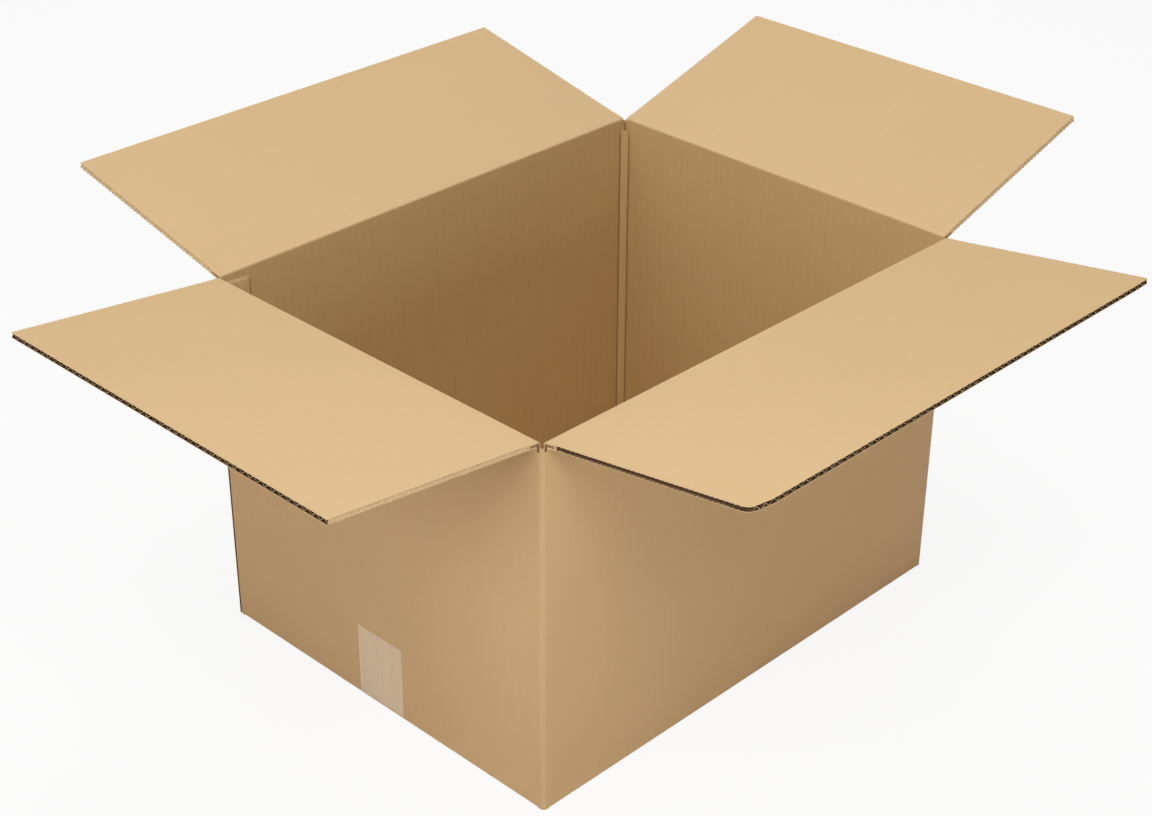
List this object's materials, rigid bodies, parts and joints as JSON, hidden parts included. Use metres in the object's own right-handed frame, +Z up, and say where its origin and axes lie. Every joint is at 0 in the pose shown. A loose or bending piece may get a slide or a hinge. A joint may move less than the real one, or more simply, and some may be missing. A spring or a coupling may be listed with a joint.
{
  "type": "open cardboard box",
  "caption": "Open shipping carton of single-wall corrugated board: taped bottom, glued side joint and top flaps that fold on their scores between closed and hanging outside.",
  "frame": {"origin": "on the ground plane, under the middle of the box, on the underside of the closed bottom", "axes": "+X along the long walls, towards the right; +Z up; the front long wall faces -Y"},
  "size_m": [0.8075, 0.7107, 0.3625],
  "materials": {
    "board_walls": "matte",
    "board_flaps": "matte",
    "clear_tape": "gloss"
  },
  "bodies": {
    "carton": {"carton_body": "board_walls", "bottom_tape": "clear_tape"},
    "front_flap": {"flap_front": "board_flaps"},
    "back_flap": {"flap_back": "board_flaps"},
    "left_flap": {"flap_left": "board_flaps"},
    "right_flap": {"flap_right": "board_flaps"}
  },
  "joints": [
    {"name": "front_flap_fold", "type": "hinge", "parent": "carton", "child": "front_flap", "pos_m": [0, -0.1793, 0.3086], "axis": [1, 0, 0], "range_deg": [-171.3, 88.7]},
    {"name": "back_flap_fold", "type": "hinge", "parent": "carton", "child": "back_flap", "pos_m": [0, 0.1793, 0.3086], "axis": [-1, 0, 0], "range_deg": [-167.6, 92.4]},
    {"name": "left_flap_fold", "type": "hinge", "parent": "carton", "child": "left_flap", "pos_m": [-0.2293, 0, 0.30645], "axis": [0, -1, 0], "range_deg": [-173.4, 94.6]},
    {"name": "right_flap_fold", "type": "hinge", "parent": "carton", "child": "right_flap", "pos_m": [0.2293, 0, 0.30645], "axis": [0, 1, 0], "range_deg": [-163.4, 104.6]}
  ]
}
